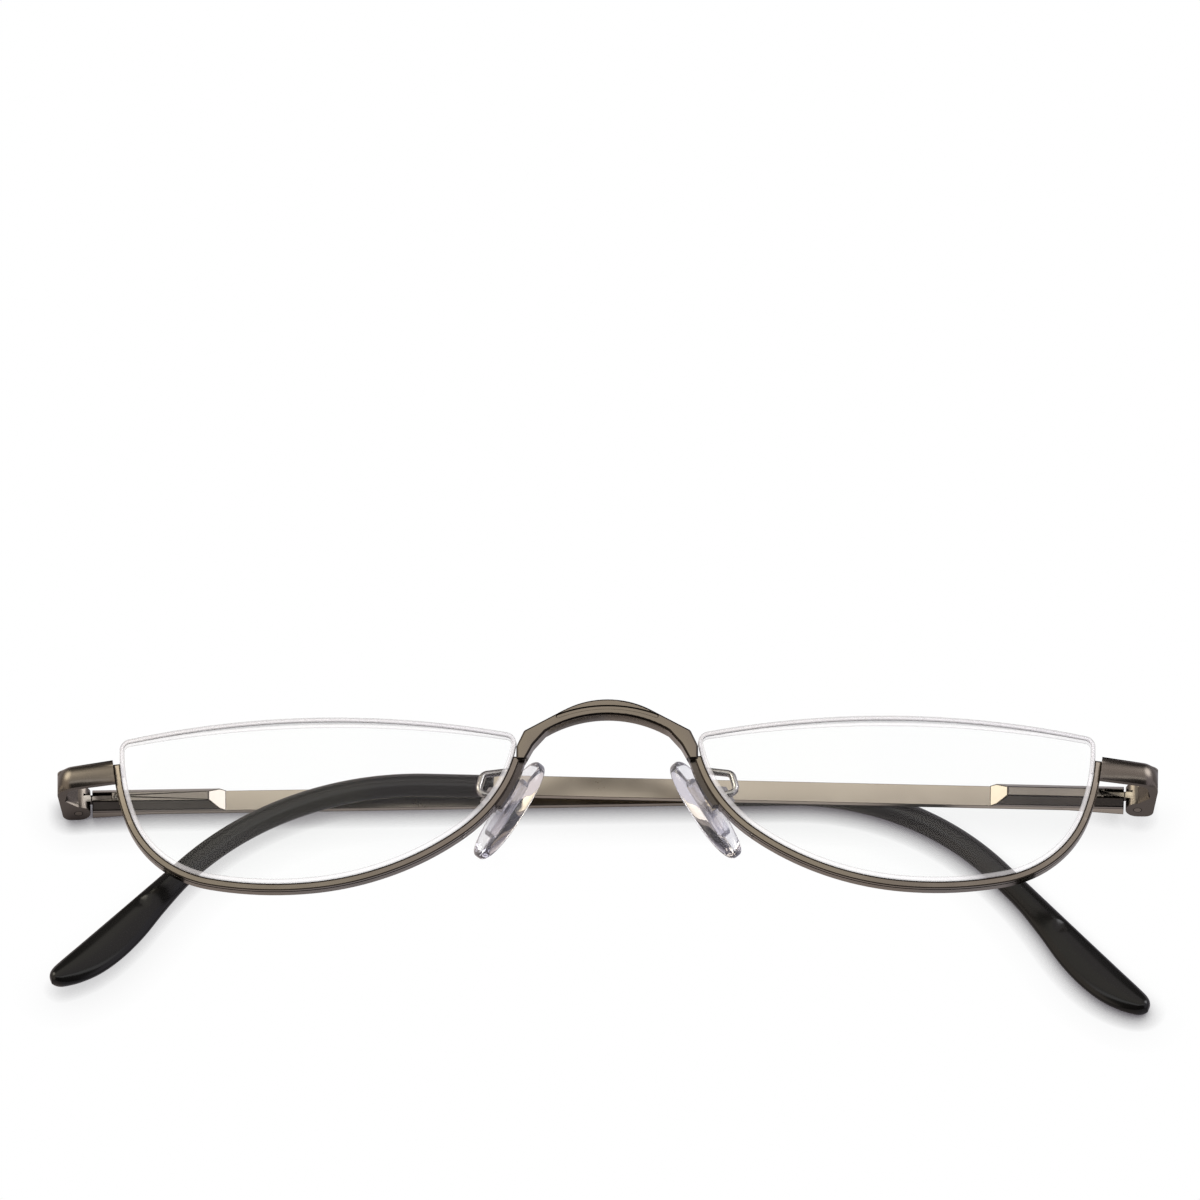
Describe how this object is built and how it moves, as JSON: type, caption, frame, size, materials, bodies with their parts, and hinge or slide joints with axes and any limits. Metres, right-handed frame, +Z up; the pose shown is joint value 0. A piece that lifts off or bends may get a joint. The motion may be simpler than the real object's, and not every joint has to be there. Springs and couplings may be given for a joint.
{
  "type": "half eye reading glasses",
  "caption": "Narrow half-rim reading glasses with a metal front, spring hinges, nose pads and sleeved temples, lying folded face up.",
  "frame": {"origin": "on the surface that the folded glasses lie on, under the middle of their length and depth", "axes": "+Z up, which is the way the front faces when worn; +X from the wearer's right endpiece (named left, as seen in front) to the other; +Y towards the top of the lenses"},
  "size_m": [0.1388, 0.0392, 0.0141],
  "materials": {
    "gunmetal": "satin plated alloy",
    "lens": "clear optical plastic",
    "nylon": "clear nylon",
    "steel": "bright stainless",
    "spring_wire": "spring steel",
    "pad_silicone": "clear silicone",
    "pad_core": "clear plastic",
    "tip_plastic": "moulded dark plastic"
  },
  "bodies": {
    "front": {"bridge": "gunmetal", "rim_left": "gunmetal", "rim_right": "gunmetal", "lens_left": "lens", "lens_right": "lens", "nylon_cord_left": "nylon", "nylon_cord_right": "nylon", "pad_arm_left": "gunmetal", "pad_arm_right": "gunmetal", "pad_screw_left": "steel", "pad_screw_right": "steel", "endpiece_left": "gunmetal", "endpiece_right": "gunmetal", "hinge_screw_left": "steel", "hinge_screw_right": "steel"},
    "left_hinge_link": {"hinge_link_left": "steel", "spring_collar_left": "steel"},
    "left_temple": {"temple_bar_left": "gunmetal", "temple_tip_left": "tip_plastic", "spring_box_left": "gunmetal", "box_screw_left": "steel", "hinge_spring_left": "spring_wire"},
    "right_hinge_link": {"hinge_link_right": "steel", "spring_collar_right": "steel"},
    "right_temple": {"temple_bar_right": "gunmetal", "temple_tip_right": "tip_plastic", "spring_box_right": "gunmetal", "box_screw_right": "steel", "hinge_spring_right": "spring_wire"},
    "left_nose_pad": {"nose_pad_left": "pad_silicone", "pad_insert_left": "pad_core"},
    "right_nose_pad": {"nose_pad_right": "pad_silicone", "pad_insert_right": "pad_core"}
  },
  "joints": [
    {"name": "left_temple_fold", "type": "hinge", "parent": "front", "child": "left_hinge_link", "pos_m": [-0.06626, 0.01059, 0.00151], "axis": [-0.0227, 0.9997, -0.0003], "range_deg": [0, 97.3]},
    {"name": "left_spring_travel", "type": "slide", "parent": "left_hinge_link", "child": "left_temple", "axis": [0.9997, 0.0227, 0], "range_m": [0, 0.0012], "stiffness_N_per_m": 1500, "deforming": ["hinge_spring_left"]},
    {"name": "right_temple_fold", "type": "hinge", "parent": "front", "child": "right_hinge_link", "pos_m": [0.06693, 0.01059, 0.00321], "axis": [-0.0227, -0.9997, -0.0003], "range_deg": [0, 98.7]},
    {"name": "right_spring_travel", "type": "slide", "parent": "right_hinge_link", "child": "right_temple", "axis": [-0.9997, 0.0227, 0], "range_m": [0, 0.0012], "stiffness_N_per_m": 1500, "deforming": ["hinge_spring_right"]},
    {"name": "left_pad_rock", "type": "hinge", "parent": "front", "child": "left_nose_pad", "pos_m": [-0.01343, 0.00723, 0.00743], "axis": [0.4366, -0.4499, 0.779], "range_deg": [-8, 8]},
    {"name": "right_pad_rock", "type": "hinge", "parent": "front", "child": "right_nose_pad", "pos_m": [0.01397, 0.00723, 0.00778], "axis": [-0.4564, -0.4499, 0.7676], "range_deg": [-8, 8]}
  ]
}
